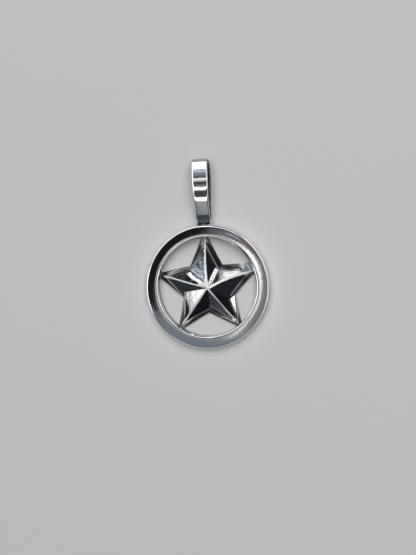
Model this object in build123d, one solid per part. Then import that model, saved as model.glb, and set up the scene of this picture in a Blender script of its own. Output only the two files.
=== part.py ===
from build123d import *
from collections import namedtuple
import math
import os

# Star pendant in polished silver, in millimetres: a five-pointed faceted star soldered inside a
# round hoop, hanging from a folded strap bail whose two ends grip a lug on top of the hoop.
# It is built flat, with the hoop's back on z = 0, the hoop's middle on the Z axis and the bail
# towards +Y, and is then laid on its back the way it rests on a table.

# Hoop: a flat ring with a slightly crowned front
HOOP_OUTER_D = 20.0
HOOP_BAND = 2.0
HOOP_THICK = 2.0
HOOP_CROWN = 0.08
HOOP_OUTER_ROUND = 0.3
HOOP_INNER_ROUND = 0.45
HOOP_BACK_ROUND = 0.15

# Star: a thin plate that reaches into the hoop, a sloping skirt, and ten facets up to a point
STAR_DROP = 0.2
STAR_BACK_INSET = 0.1
STAR_PLATE = 0.2
STAR_SKIRT = 0.5
STAR_RISE = 1.3
STAR_SETBACK = 0.85
STAR_NOTCH = 3.5
STAR_NOTCH_SKIRT = 0.8
STAR_TIP_WIDTH = 0.6
SOLDER_DEPTH = 0.25

# The arms are hand finished and differ a little. Turn is in degrees from an even star, setback
# is the space between the end of the ridge and the hoop, as a share of STAR_SETBACK, and left is
# the end's width to the left of the ridge, looking outwards, as a share of STAR_TIP_WIDTH.
Arm = namedtuple("Arm", "name turn setback left")
ARMS = (
    Arm("top", 1.0, 1.4, 0.5),
    Arm("left", 1.0, 1.0, 0.5),
    Arm("lower_left", -2.0, 1.1, 0.5),
    Arm("lower_right", 1.0, 0.4, 0.5),
    Arm("right", 1.0, 1.0, 1.6),
)
FIRST_ARM = 90.0

# The valley after each arm: how far its facets reach in from the star's middle, as a share of
# STAR_NOTCH, and how far the skirt goes on from there, as a share of STAR_NOTCH_SKIRT.
Valley = namedtuple("Valley", "notch skirt")
VALLEYS = (
    Valley(1.07, 1.0),
    Valley(1.0, 1.05),
    Valley(0.94, 0.95),
    Valley(1.0, 1.1),
    Valley(1.02, 0.95),
)

# Lug: a small tab soldered on top of the hoop, with a flared foot
LUG_WIDTH = 2.1
LUG_THICK = 0.5
LUG_SHOWN = 0.9
LUG_GRIPPED = 0.9
LUG_FLARE = 0.35
LUG_ROOT = 0.6

# Bail: a strap folded into a narrow loop
BAIL_HEIGHT = 9.7
BAIL_DEPTH = 3.6
BAIL_WIDEST = 5.7
BAIL_FLANK_RADIUS = 12.0
STRAP_THICK = 0.6
STRAP_TOP_WIDTH = 2.6
STRAP_END_WIDTH = 2.25
STRAP_GRIP = 0.6
STRAP_ROUND = 0.12
JOINT_GAP = 0.05

# Places worked out from the sizes above
hoop_outer = HOOP_OUTER_D / 2
hoop_inner = hoop_outer - HOOP_BAND
hoop_middle = HOOP_THICK / 2
rim_top = hoop_outer + LUG_SHOWN
bail_top = rim_top + BAIL_HEIGHT


def hoop():
    """The ring, turned from its section: x is the radius and z the height."""
    front = HOOP_THICK - HOOP_CROWN
    crown_inner = hoop_inner + HOOP_INNER_ROUND
    crown_outer = hoop_outer - HOOP_OUTER_ROUND
    crown_middle = (crown_inner + crown_outer) / 2
    back_inner = hoop_inner + HOOP_BACK_ROUND
    back_outer = hoop_outer - HOOP_BACK_ROUND
    section = Line((back_inner, 0), (back_outer, 0))
    section += RadiusArc((back_outer, 0), (hoop_outer, HOOP_BACK_ROUND), -HOOP_BACK_ROUND)
    section += Line((hoop_outer, HOOP_BACK_ROUND), (hoop_outer, front - HOOP_OUTER_ROUND))
    section += RadiusArc((hoop_outer, front - HOOP_OUTER_ROUND), (crown_outer, front), -HOOP_OUTER_ROUND)
    section += ThreePointArc((crown_outer, front), (crown_middle, HOOP_THICK), (crown_inner, front))
    section += RadiusArc((crown_inner, front), (hoop_inner, front - HOOP_INNER_ROUND), -HOOP_INNER_ROUND)
    section += Line((hoop_inner, front - HOOP_INNER_ROUND), (hoop_inner, HOOP_BACK_ROUND))
    section += RadiusArc((hoop_inner, HOOP_BACK_ROUND), (back_inner, 0), -HOOP_BACK_ROUND)
    return revolve(Plane.XZ * make_face(section), Axis.Z)


def polar(angle, radius):
    """A point measured from the star's middle."""
    turn = math.radians(angle)
    return (radius * math.cos(turn), radius * math.sin(turn) - STAR_DROP)


def reach(angle, radius):
    """How far it is from the star's middle to a circle of this radius about the hoop's middle."""
    turn = math.radians(angle)
    along = STAR_DROP * math.sin(turn)
    across = STAR_DROP * math.cos(turn)
    return along + math.sqrt(radius**2 - across**2)


def flat_place(point):
    return (point.X, point.Y)


def flat_face(points):
    return Face(Wire.make_polygon([Vector(*point) for point in points], close=True))


def side_face(start, end, low, high):
    """An upright face over the line between two points of the plan."""
    return flat_face([(*start, low), (*end, low), (*end, high), (*start, high)])


def star():
    """Plate, skirt and facets as one closed body of flat faces."""
    step = 360 / len(ARMS)
    back = STAR_BACK_INSET
    plate_top = back + STAR_PLATE
    facet_foot = plate_top + STAR_SKIRT
    peak = (*polar(0, 0), facet_foot + STAR_RISE)

    directions = [FIRST_ARM + step * number + arm.turn for number, arm in enumerate(ARMS)]
    tips = []
    ends = []
    facet_notches = []
    plate_notches = []
    for number, arm in enumerate(ARMS):
        angle = directions[number]
        ridge = reach(angle, hoop_inner) - arm.setback * STAR_SETBACK
        tips.append((*polar(angle, ridge), facet_foot))
        end = Vector(*polar(angle, reach(angle, hoop_inner + SOLDER_DEPTH)))
        side = Vector(0, STAR_TIP_WIDTH).rotate(Axis.Z, angle)
        ends.append((flat_place(end - side / 2), flat_place(end + side * arm.left)))
        between = angle + step / 2
        notch = VALLEYS[number].notch * STAR_NOTCH
        plate_notch = notch + VALLEYS[number].skirt * STAR_NOTCH_SKIRT
        facet_notches.append((*polar(between, notch), facet_foot))
        plate_notches.append(polar(between, plate_notch))

    outline = []
    for number in range(len(ARMS)):
        outline += [ends[number][0], ends[number][1], plate_notches[number]]
    faces = [flat_face([(*point, back) for point in outline])]
    for point, following in zip(outline, outline[1:] + outline[:1]):
        faces.append(side_face(point, following, back, plate_top))

    for number, tip in enumerate(tips):
        right_end = (*ends[number][0], plate_top)
        left_end = (*ends[number][1], plate_top)
        left_foot = (*plate_notches[number], plate_top)
        right_foot = (*plate_notches[number - 1], plate_top)
        left_notch = facet_notches[number]
        right_notch = facet_notches[number - 1]
        faces.append(flat_face([right_end, left_end, tip]))
        faces.append(flat_face([left_end, left_foot, tip]))
        faces.append(flat_face([left_foot, left_notch, tip]))
        faces.append(flat_face([right_foot, right_end, tip]))
        faces.append(flat_face([right_foot, tip, right_notch]))
        faces.append(flat_face([tip, left_notch, peak]))
        faces.append(flat_face([right_notch, tip, peak]))
    return Solid(Shell(faces))


def lug():
    """The tab: its flared foot meets the hoop's rim and its root is sunk in the band."""
    half = LUG_WIDTH / 2
    foot = half + LUG_FLARE
    rim = math.sqrt(hoop_outer**2 - foot**2)
    root = hoop_outer - LUG_ROOT
    top = rim_top + LUG_GRIPPED
    outline = Line((foot, root), (foot, rim))
    outline += RadiusArc((foot, rim), (half, rim + LUG_FLARE), LUG_FLARE)
    outline += Polyline((half, rim + LUG_FLARE), (half, top), (-half, top), (-half, rim + LUG_FLARE))
    outline += RadiusArc((-half, rim + LUG_FLARE), (-foot, rim), LUG_FLARE)
    outline += Polyline((-foot, rim), (-foot, root), (foot, root))
    tab = extrude(make_face(outline), LUG_THICK / 2, both=True)
    return Pos(0, 0, hoop_middle) * tab


# The bail's middle line, seen from the side: u is the height above the hoop's middle and v the
# distance in front of the pendant's middle plane. It rises straight where it grips the lug,
# leans out, follows the flank's wide arc past the widest place, and closes in the top arc.
line_depth = (BAIL_DEPTH - STRAP_THICK) / 2
grip_v = LUG_THICK / 2 + JOINT_GAP + STRAP_THICK / 2
grip_u = rim_top + STRAP_GRIP
widest_u = rim_top + BAIL_WIDEST
line_top = bail_top - STRAP_THICK / 2
flank_v = line_depth - BAIL_FLANK_RADIUS
rise = line_top - widest_u
top_radius = (BAIL_FLANK_RADIUS**2 - flank_v**2 - rise**2) / (2 * (BAIL_FLANK_RADIUS - rise))
top_u = line_top - top_radius
to_flank = Vector(widest_u - grip_u, flank_v - grip_v)
lean = math.atan2(to_flank.Y, to_flank.X) + math.asin(BAIL_FLANK_RADIUS / to_flank.length)
close_angle = math.atan2(top_u - widest_u, -flank_v)


def strap_side(offset):
    """One face of the folded strap, as edges from the front end over the top to the back end."""
    grip = grip_v + offset
    bend_u = grip_u - offset * math.tan(lean / 2)
    flank = BAIL_FLANK_RADIUS + offset
    top = top_radius + offset

    def on_flank(angle):
        return (widest_u + flank * math.sin(angle), flank_v + flank * math.cos(angle))

    def on_top(angle):
        return (top_u + top * math.sin(angle), top * math.cos(angle))

    front = Polyline((rim_top, grip), (bend_u, grip), on_flank(-lean))
    front += ThreePointArc(on_flank(-lean), on_flank((close_angle - lean) / 2), on_flank(close_angle))
    crest = ThreePointArc(on_top(close_angle), on_top(math.pi / 2), on_top(math.pi - close_angle))
    return front + crest + mirror(front, Plane.XZ)


def bail():
    """The strap: its folded section drawn from the side, trimmed to its tapering width."""
    outer = STRAP_THICK / 2
    section = strap_side(outer) + strap_side(-outer)
    section += Line((rim_top, grip_v - outer), (rim_top, grip_v + outer))
    section += Line((rim_top, -grip_v - outer), (rim_top, -grip_v + outer))
    folded = extrude(Plane.YZ * make_face(section), STRAP_TOP_WIDTH, both=True)
    end = STRAP_END_WIDTH / 2
    top = STRAP_TOP_WIDTH / 2
    width = Polyline((end, rim_top), (top, bail_top), (-top, bail_top), (-end, rim_top), close=True)
    strap = folded & extrude(make_face(width), BAIL_DEPTH, both=True)
    along = [edge for edge in strap.edges() if abs(edge.tangent_at(0.5).X) < 0.5]
    return Pos(0, 0, hoop_middle) * fillet(along, STRAP_ROUND)


# At rest the pendant lies on the hoop's lower back edge and on the back of the bail. Both are
# round, so the table is the line that touches the two circles from below.
low_edge = Vector(HOOP_BACK_ROUND - hoop_outer, HOOP_BACK_ROUND)
bail_back = Vector(widest_u, hoop_middle - flank_v)
centres = bail_back - low_edge
extra_radius = BAIL_FLANK_RADIUS + STRAP_THICK / 2 - HOOP_BACK_ROUND
rest_tilt = math.degrees(math.asin(extra_radius / centres.length) - math.atan2(centres.Y, centres.X))

nodes = {
    "star_hoop": hoop() + star() + lug(),
    "bail": bail(),
}
nodes = {name: Rot(X=rest_tilt) * solid for name, solid in nodes.items()}
box = Compound(list(nodes.values())).bounding_box()
to_origin = Pos(-box.center().X, -box.center().Y, -box.min.Z)

os.makedirs("parts", exist_ok=True)
for name, solid in nodes.items():
    placed = to_origin * solid
    placed.label = name
    export_step(placed, f"parts/{name}.step")
    print(name, "solids", len(placed.solids()), "volume", round(placed.volume, 3))
print("rest tilt", round(rest_tilt, 3), "size", box.size)
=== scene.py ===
import logging
import math
from dataclasses import dataclass
from enum import Enum

import bmesh
import bpy
import numpy as np
from mathutils import Matrix, Vector, noise


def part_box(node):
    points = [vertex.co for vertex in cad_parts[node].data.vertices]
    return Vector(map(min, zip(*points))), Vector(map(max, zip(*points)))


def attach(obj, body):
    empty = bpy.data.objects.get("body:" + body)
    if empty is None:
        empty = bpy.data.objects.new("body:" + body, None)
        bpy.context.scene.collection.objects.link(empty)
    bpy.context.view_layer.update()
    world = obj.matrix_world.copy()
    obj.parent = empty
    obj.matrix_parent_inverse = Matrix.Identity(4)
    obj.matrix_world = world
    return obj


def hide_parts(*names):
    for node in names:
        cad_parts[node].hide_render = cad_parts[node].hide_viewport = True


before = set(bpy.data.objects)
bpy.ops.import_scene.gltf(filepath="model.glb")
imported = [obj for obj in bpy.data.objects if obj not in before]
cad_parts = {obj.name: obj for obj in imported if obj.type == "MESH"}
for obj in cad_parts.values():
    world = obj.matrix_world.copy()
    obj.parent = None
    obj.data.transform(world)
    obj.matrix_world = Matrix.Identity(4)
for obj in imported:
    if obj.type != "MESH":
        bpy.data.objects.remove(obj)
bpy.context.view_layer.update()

# The pendant is modelled in millimetres in its own upright frame: x to the right of the star,
# y from the hoop's middle to the bail and z out of the front. RestPose lays it on its back.
# Polished silver shows what stands around it, so most of its light and shade comes from soft
# cards, each placed where one face mirrors it to the camera.
MM = 0.001
BODY = "root"
WEAR = "wear"
# Name of the mesh mark that holds painted shade and painted dark reflection, from 0 to 1.
PAINTED_SHADE_MARK = "painted_shade"
PHOTO_SIZE = (416, 555)
CORNER_STEPS = 7  # points over each rounded corner of a bar
LIGHT_POWER = 4.0  # watts a square metre of face that a radiance of 1 stands for

log = logging.getLogger("star_pendant")

Array = np.ndarray
Faces = list[tuple[int, ...]]
Range = tuple[float, float]
Place = tuple[float, float, float]
Colour = tuple[float, float, float]
Material = bpy.types.Material
Object = bpy.types.Object
Socket = bpy.types.NodeSocket
Wires = dict[str | int, object]

WHITE: Colour = (1.0, 1.0, 1.0)
COOL: Colour = (0.86, 1.0, 1.14)
WARM: Colour = (1.04, 1.0, 0.94)
PURPLE: Colour = (1.12, 0.92, 1.1)


class Slot(Enum):
    """The record's two material slots."""

    HOOP = "hoop_silver"
    BAIL = "bail_silver"


class Side(Enum):
    """A side of an arm, as seen from the star's middle outwards."""

    LEFT = "left"
    RIGHT = "right"


class Reach(Enum):
    """The pieces that a studio light reaches."""

    FLOOR = ("floor",)
    HOOP = ("hoop", "solder")
    STAR = ("star",)
    LUG = ("lug",)
    BAIL = ("bail_strap",)
    BAND = ("hoop", "solder", "lug", "bail_strap")


@dataclass(frozen=True)
class Wave:
    """One slow wave of hand work round a circle."""

    repeats: int  # times a turn
    swing: float  # in the unit of the value that it changes
    peak: float  # where it is highest, in degrees

    def at(self, angle: float) -> float:
        """The wave's value at this angle in radians."""
        return float(self.swing * np.cos(self.repeats * (angle - math.radians(self.peak))))


def mound(far: Array) -> Array:
    """A soft mound: 1 in its middle, and nearly faded where this squared distance is 1."""
    return np.exp(-2.0 * far)


@dataclass(frozen=True)
class Dent:
    """A shallow hollow left by a tool."""

    x: float
    y: float
    half_x: float  # distance at which it has nearly faded
    half_y: float
    depth: float

    def at(self, x: Array, y: Array) -> Array:
        """Height change at these places."""
        far = ((x - self.x) / self.half_x) ** 2 + ((y - self.y) / self.half_y) ** 2
        return -self.depth * mound(far)


def fade(value: float | Array, start: float | Array, stop: float | Array) -> float | Array:
    """Goes from 0 to 1 while a value goes from start to stop."""
    return np.clip((value - start) / (stop - start), 0.0, 1.0)


def apart(first: Array, second: float) -> Array:
    """Degrees between directions, from 0 to 180."""
    return np.abs(np.mod(first - second + 180.0, 360.0) - 180.0)


def smooth_min(first: Array, second: Array, blend: float | Array) -> Array:
    """The lower of two heights, rounded where they differ by less than blend."""
    near = np.maximum(blend - np.abs(first - second), 0.0)
    return np.minimum(first, second) - near**2 / (4.0 * blend)


def smooth_max(first: Array, second: Array, blend: float | Array) -> Array:
    """The higher of two heights, rounded where they differ by less than blend."""
    return -smooth_min(-first, -second, blend)


def plane_through(*corners: Array) -> Array:
    """Three numbers of the plane through three points: height at x = y = 0, slopes along x and y."""
    rows = np.array([[1.0, corner[0], corner[1]] for corner in corners])
    return np.linalg.solve(rows, np.array([corner[2] for corner in corners]))


def height_on(plane: Array, x: float | Array, y: float | Array) -> float | Array:
    """Height of a plane from plane_through over these places."""
    return plane[0] + plane[1] * x + plane[2] * y


def hand_noise(points: Array, grain: float, seed: float) -> Array:
    """Soft relief from about -1 to 1. Grain is the size of its features, and seed moves them."""
    shift = Vector((seed, 2.0 * seed, 3.0 * seed))
    return np.array([noise.noise(Vector(point) / grain + shift) for point in points])


def join_rings(rings: Array, looped: bool = False) -> tuple[Array, Faces]:
    """Joins rings of points into one closed surface.

    Args:
        rings: Points as (ring, place on the ring, xyz). All rings run the same way round.
        looped: True joins the last ring to the first. False closes both ends with a fan.

    Returns:
        The points as rows, and the faces.
    """
    count, around = rings.shape[:2]
    points = rings.reshape(-1, 3)
    steps = [(place, (place + 1) % around) for place in range(around)]
    faces: Faces = []
    for ring in range(count if looped else count - 1):
        here, there = ring * around, (ring + 1) % count * around
        faces += [(here + start, here + stop, there + stop, there + start) for start, stop in steps]
    for ring in () if looped else (0, count - 1):
        here, middle = ring * around, len(points)
        points = np.vstack([points, rings[ring].mean(axis=0)])
        faces += [(here + start, here + stop, middle) for start, stop in steps]
    return points, faces


def rounded_bar(width: float, depth: float, corner: float, crown: float, across: int) -> Array:
    """Outline of a bar with rounded corners and a slightly domed front.

    Args:
        width: Its width, along x.
        depth: Its depth, along the second axis.
        corner: Radius of the four corners.
        crown: How much the front's middle stands out over its sides.
        across: Number of steps over the front and over the back.

    Returns:
        Rows of (x, depth), counter-clockwise from the front's left end.
    """
    turns = np.linspace(0.0, math.pi / 2, CORNER_STEPS)
    flat = width / 2 - corner
    rise = depth / 2 - corner
    x = np.linspace(-flat, flat, across + 1)
    front = np.column_stack([x, depth / 2 - crown + crown * (1.0 - (x / flat) ** 2)])
    back = np.column_stack([-x, np.full_like(x, -depth / 2)])
    front_corner = np.column_stack([flat + corner * np.sin(turns), rise - crown + corner * np.cos(turns)])
    back_corner = np.column_stack([flat + corner * np.cos(turns), -rise - corner * np.sin(turns)])
    mirrored = np.array([-1.0, 1.0])
    return np.vstack([
        front,
        front_corner[1:],
        back_corner,
        back[1:],
        (back_corner * mirrored)[::-1][1:],
        (front_corner * mirrored)[::-1][:-1],
    ])


def add_object(name: str, data: bpy.types.ID) -> Object:
    """Makes an object and puts it in the scene.

    Args:
        name: Its name.
        data: Its mesh, light or camera.

    Returns:
        The new object.
    """
    made = bpy.data.objects.new(name, data)
    bpy.context.scene.collection.objects.link(made)
    return made


def stand(made: Object, axes: Array, spot: Array) -> None:
    """Stands an object at a spot in metres, with its own x, y and z along these three rows."""
    rows = np.column_stack([*axes, spot]).tolist()
    made.matrix_world = Matrix([*rows, [0.0, 0.0, 0.0, 1.0]])


@dataclass(frozen=True)
class RestPose:
    """How the upright pendant lies on the table."""

    tilt: float  # turn about x, in radians, that brings the hoop's low edge and the bail's back down
    shift: Place  # the move that follows

    def turn(self, vectors: Array) -> Array:
        """Turns directions from the pendant's frame to the table's."""
        cos, sin = math.cos(self.tilt), math.sin(self.tilt)
        return vectors @ np.array([[1.0, 0.0, 0.0], [0.0, cos, sin], [0.0, -sin, cos]])

    def place(self, points: Array) -> Array:
        """Turns and moves points, and changes millimetres to metres."""
        return (self.turn(points) + np.array(self.shift)) * MM

    def piece(self, name: str, surface: tuple[Array, Faces], material: Material,
              wear: Array | None = None, painted_shade: Array | None = None) -> Object:
        """Makes one closed, smooth-shaded piece at its place on the table.

        Args:
            name: The piece's name.
            surface: Its points in the pendant's frame, and its faces.
            material: Its finish.
            wear: How worn each point is, from 0 to 1. None is no wear.
            painted_shade: How much painted shade each point has, from 0 to 1. None paints no shade.

        Returns:
            The new object, linked to the scene.
        """
        mesh = bpy.data.meshes.new(name)
        points, faces = surface
        mesh.from_pydata(self.place(points).tolist(), [], faces)
        for label, values in ((WEAR, wear), (PAINTED_SHADE_MARK, painted_shade)):
            mark = mesh.attributes.new(label, "FLOAT", "POINT")
            if values is not None:
                mark.data.foreach_set("value", values.astype(np.float32))
        sheet = bmesh.new()
        sheet.from_mesh(mesh)
        bmesh.ops.recalc_face_normals(sheet, faces=sheet.faces)
        sheet.to_mesh(mesh)
        sheet.free()
        mesh.materials.append(material)
        mesh.shade_smooth()
        return add_object(name, mesh)


@dataclass
class Hoop:
    """The flat ring. Its face leans out a little and is not quite even, as a hand leaves it."""

    outer_radius: float = 9.998
    band: float = 2.0  # width of the ring
    thick: float = 2.0
    face_height: float = 1.965  # of the face's middle over the back
    outer_round: float = 0.33  # rounding between face and outer wall
    inner_round: float = 0.45  # rounding between face and inner wall
    back_round: float = 0.15  # rounding of both back edges
    lean: float = 5.5  # mean lean of the face in degrees, outwards positive
    crown: float = 4.5  # half the turn of the face's own arch, in degrees
    lean_waves: tuple[Wave, ...] = (Wave(1, 1.6, 170.0), Wave(2, 0.8, 95.0), Wave(5, 0.3, 20.0))
    round_wave: Wave = Wave(1, 0.2, 110.0)  # of the outer rounding
    bead_angle: float = 249.5  # place of a small bead of stray solder on the inner edge, in degrees
    bead_size: float = 0.22  # half the bead's length
    bead_out: float = 0.14  # how far it stands out of the edge
    bead_inset: Range = (0.1, 0.2)  # from the inner wall and from the face to its middle
    wall_shade: float = 0.85  # how dark the painted shade on the inner wall is
    wall_skin: Range = (0.06, 0.01)  # distance from the inner wall at which that starts and is full
    wall_top: Range = (1.5, 1.35)  # height at which it starts and is full
    foot_shade: float = 0.95  # how dark the painted shade on the rim under the lug is
    foot_half: Range = (1.0, 0.9)  # distance from the lug's middle at which that starts and is full
    foot_inset: Range = (0.22, 0.14)  # distance from the outer wall at which it starts and is full
    rings: int = 540  # sections round the ring
    face_steps: int = 23  # points over the face
    outer_steps: int = 15  # points over the outer rounding
    inner_steps: int = 13  # points over the inner rounding
    back_steps: int = 5  # points over each back rounding and each wall

    @property
    def inner_radius(self) -> float:
        """Inside radius."""
        return self.outer_radius - self.band

    def section(self, angle: float) -> Array:
        """The ring's section at one place.

        Args:
            angle: Place round the ring in radians, from the right side.

        Returns:
            Rows of (radius, height), once round the section.
        """
        lean = math.radians(self.lean + sum(wave.at(angle) for wave in self.lean_waves))
        out_lean = lean + math.radians(self.crown)
        in_lean = lean - math.radians(self.crown)
        outer_round = self.outer_round + self.round_wave.at(angle)
        out_end = self.outer_radius - outer_round * (1.0 - math.sin(out_lean))
        in_end = self.inner_radius + self.inner_round * (1.0 + math.sin(in_lean))
        arch = (out_end - in_end) / (math.sin(out_lean) - math.sin(in_lean))
        leans = np.linspace(in_lean, out_lean, self.face_steps)
        face = np.column_stack([
            in_end + arch * (np.sin(leans) - math.sin(in_lean)),
            self.face_height + arch * (np.cos(leans) - math.cos(lean)),
        ])
        outer = self.corner(face[-1], np.linspace(out_lean, math.pi / 2, self.outer_steps), outer_round)
        inner = self.corner(face[0], np.linspace(in_lean, -math.pi / 2, self.inner_steps), self.inner_round)
        back = self.back_round
        quarter = np.linspace(0.0, math.pi / 2, self.back_steps)
        along, down = back * np.cos(quarter), back * np.sin(quarter)
        back_outer = np.column_stack([self.outer_radius - back + along, back - down])
        back_inner = np.column_stack([self.inner_radius + back - down, back - along])
        wall_steps = np.linspace(0.0, 1.0, self.back_steps)[1:-1, None]
        outer_wall = outer[-1] + wall_steps * (back_outer[0] - outer[-1])
        inner_wall = back_inner[-1] + wall_steps * (inner[-1] - back_inner[-1])
        return np.vstack([face, outer[1:], outer_wall, back_outer, back_inner, inner_wall, inner[1:][::-1]])

    @staticmethod
    def corner(start: Array, leans: Array, radius: float) -> Array:
        """An arc that starts at a point, as its normal leans from the first of these to the last."""
        centre = start - radius * np.array([math.sin(leans[0]), math.cos(leans[0])])
        return centre + radius * np.column_stack([np.sin(leans), np.cos(leans)])

    def points(self) -> tuple[Array, Array]:
        """All sections round the ring.

        Returns:
            The points as (ring, place, xyz), and how much painted shade each has, as (ring, place).
        """
        rows = []
        dark = []
        bead_in, bead_down = self.bead_inset
        for turn in np.arange(self.rings) * 2.0 * math.pi / self.rings:
            across, height = self.section(turn).T
            off_edge = np.hypot(across - self.inner_radius - bead_in, height - self.face_height + bead_down)
            along = math.remainder(turn - math.radians(self.bead_angle), 2.0 * math.pi) * self.inner_radius
            far = (off_edge**2 + along**2) / self.bead_size**2
            radius = across - self.bead_out * mound(far)
            rows.append(np.column_stack([radius * math.cos(turn), radius * math.sin(turn), height]))
            # Painted shade: the inner wall is darker towards the back, and the rim under the lug is darker.
            wall = self.wall_shade * fade(across - self.inner_radius, *self.wall_skin)
            wall = wall * fade(height, *self.wall_top)
            foot = self.foot_shade * fade(self.outer_radius - across, *self.foot_inset)
            off_lug = abs(math.remainder(turn - math.pi / 2, 2.0 * math.pi)) * self.outer_radius
            dark.append(np.maximum(wall, foot * fade(off_lug, *self.foot_half)))
        return np.array(rows), np.array(dark)

    def build(self, pose: RestPose, finish: Material) -> Object:
        """Makes the ring."""
        rings, dark = self.points()
        return pose.piece("hoop", join_rings(rings, looped=True), finish, painted_shade=dark.ravel())


@dataclass(frozen=True)
class Flank:
    """One side of an arm: its facet and the skirt under it."""

    bulge: float  # how much the facet is domed
    grit: float  # height of the fine relief that the file left on the facet
    painted_shade: float  # how dark the skirt's painted dark reflection is, from 0 to 1


@dataclass(frozen=True)
class Arm:
    """One arm of the star. Left and right are as seen from the middle outwards."""

    name: str
    turn: float  # degrees from an even star
    setback: float  # space between ridge end and hoop, as a share of the star's setback
    ridge: float  # height difference over which its ridge is rounded at the star's middle
    ridge_end: float  # the same at the arm's tip
    left: Flank
    right: Flank
    left_end: float = 0.3  # width to the left of its middle line, where it enters the hoop
    right_end: float = 0.3
    end_shade: float = 0.95  # how dark the painted shade on its end is, from 0 to 1


@dataclass(frozen=True)
class Valley:
    """The place between two arms. The lengths are measured from the star's middle."""

    before: float  # to the inner corner of the facet of the arm before it, counter-clockwise
    after: float  # to that of the arm after it
    skirt: float  # to the outer corner of the skirt
    fill: float  # height difference over which the crease is filled


@dataclass
class Star:
    """The faceted star: ten facets, a sloping skirt and a thin plate with its tips in the hoop."""

    hoop: Hoop
    drop: float = 0.2  # how far its middle is under the hoop's middle
    back_inset: float = 0.1  # between the hoop's back and the star's back
    plate: float = 0.2  # thickness of the plate
    skirt: float = 0.5  # height of the skirt
    rise: float = 1.3  # height of the facets
    setback: float = 0.85  # between the end of a ridge and the hoop
    solder_depth: float = 0.25  # how far each arm enters the hoop
    edge_blend: float = 0.05  # height difference over which the facets' outer edges are rounded
    edge_wear: float = 0.45  # how worn those edges are
    lip: float = 0.03  # bevel of the outline
    ripple: float = 0.006  # height of the hand-worked relief on the facets
    ripple_grain: float = 0.9  # size of that relief's features
    ripple_seed: float = 3.7
    fine_share: float = 0.4  # height of the finer relief on it, as a share
    fine_ratio: float = 2.6  # how much finer that is
    fine_seed: float = 8.1
    grit_grain: float = 0.3  # size of the features of the flanks' own fine relief
    grit_seed: float = 5.3
    grit_fade: float = 10.0  # degrees beside a valley over which that relief is polished away
    first_arm: float = 90.0  # direction of the first arm before its turn, in degrees
    bulge_reach: float = 2.4  # distance over which a facet's dome falls to nothing
    fill_overlap: float = 1.0  # degrees by which a valley's fill goes beyond its own fifth of the star
    nowhere: float = -1.0  # height of an arm where it has none, lower than any face
    rings: int = 110  # rings of points from the middle to the outline
    back_rings: tuple[float, ...] = (0.75, 0.5, 0.25, 0.05)  # rings on the back, as shares of that
    arms: tuple[Arm, ...] = (  # counter-clockwise
        Arm("top", 1.0, 1.4, 0.22, 0.08, Flank(0.05, 0.018, 0.95), Flank(0.0, 0.002, 1.0)),
        Arm("left", 1.0, 1.0, 0.16, 0.16, Flank(0.05, 0.003, 1.0), Flank(0.02, 0.013, 0.9)),
        Arm("lower_left", -2.0, 1.1, 0.12, 0.16, Flank(0.03, 0.003, 1.0), Flank(0.03, 0.005, 0.5)),
        Arm("lower_right", 1.0, 0.4, 0.2, 0.1, Flank(0.0, 0.002, 0.0), Flank(0.04, 0.012, 1.0),
            end_shade=0.2),
        Arm("right", 1.0, 1.0, 0.16, 0.16, Flank(0.12, 0.006, 0.8), Flank(0.02, 0.005, 0.9),
            left_end=1.0, end_shade=0.1),
    )
    valleys: tuple[Valley, ...] = (  # the one after each arm
        Valley(4.2, 3.3, 4.55, 0.24),
        Valley(3.0, 4.0, 4.35, 0.05),
        Valley(3.5, 3.1, 4.05, 0.05),
        Valley(3.0, 3.95, 4.5, 0.012),
        Valley(3.7, 3.35, 4.3, 0.24),
    )
    dents: tuple[Dent, ...] = (
        Dent(-4.3, -3.7, 0.9, 1.9, 0.16),
        Dent(-2.6, 1.3, 0.5, 0.4, 0.03),
        Dent(-1.2, 3.8, 0.4, 0.6, 0.03),
        Dent(0.0, -0.2, 0.14, 0.14, 0.02),
    )
    ray_shares: tuple[float, ...] = (  # of the way from a ridge to a valley, closer near both
        0.0, 0.006, 0.014, 0.024, 0.038, 0.075, 0.1, 0.13, 0.17, 0.22, 0.28, 0.35, 0.42,
        0.5, 0.58, 0.65, 0.72, 0.78, 0.83, 0.87, 0.905, 0.935, 0.96, 0.98, 0.99,
    )

    def __post_init__(self) -> None:
        """Works out the corners of each arm from the sizes."""
        self.step = 360.0 / len(self.arms)
        foot = self.facet_foot
        top = self.plate_top
        self.angles = [self.first_arm + self.step * number + arm.turn for number, arm in enumerate(self.arms)]
        self.valley_angles = [angle + self.step / 2 for angle in self.angles]
        self.peak = self.spot(0.0, 0.0, foot + self.rise)
        self.tips = []
        self.ends = []
        for arm, angle in zip(self.arms, self.angles):
            ridge = self.reach(angle, self.hoop.inner_radius) - arm.setback * self.setback
            self.tips.append(self.spot(angle, ridge, foot))
            end = self.spot(angle, self.reach(angle, self.hoop.inner_radius + self.solder_depth), top)
            side = np.array([-math.sin(math.radians(angle)), math.cos(math.radians(angle)), 0.0])
            self.ends.append((end - arm.right_end * side, end + arm.left_end * side))
        pairs = list(zip(self.valleys, self.valley_angles))
        self.left_notches = [self.spot(angle, valley.before, foot) for valley, angle in pairs]
        self.right_notches = [self.spot(angle, valley.after, foot) for valley, angle in pairs]
        self.skirt_notches = [self.spot(angle, valley.skirt, top) for valley, angle in pairs]

    @property
    def plate_top(self) -> float:
        """Height of the plate's upper side."""
        return self.back_inset + self.plate

    @property
    def facet_foot(self) -> float:
        """Height of the facets' outer edges."""
        return self.plate_top + self.skirt

    def spot(self, angle: float, radius: float, height: float) -> Array:
        """A point at this angle in degrees and radius from the star's middle."""
        turn = math.radians(angle)
        return np.array([radius * math.cos(turn), radius * math.sin(turn) - self.drop, height])

    def reach(self, angle: float, radius: float) -> float:
        """How far it is from the star's middle to a circle about the hoop's middle."""
        across, along = self.drop * math.cos(math.radians(angle)), self.drop * math.sin(math.radians(angle))
        return along + math.sqrt(radius**2 - across**2)

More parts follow.
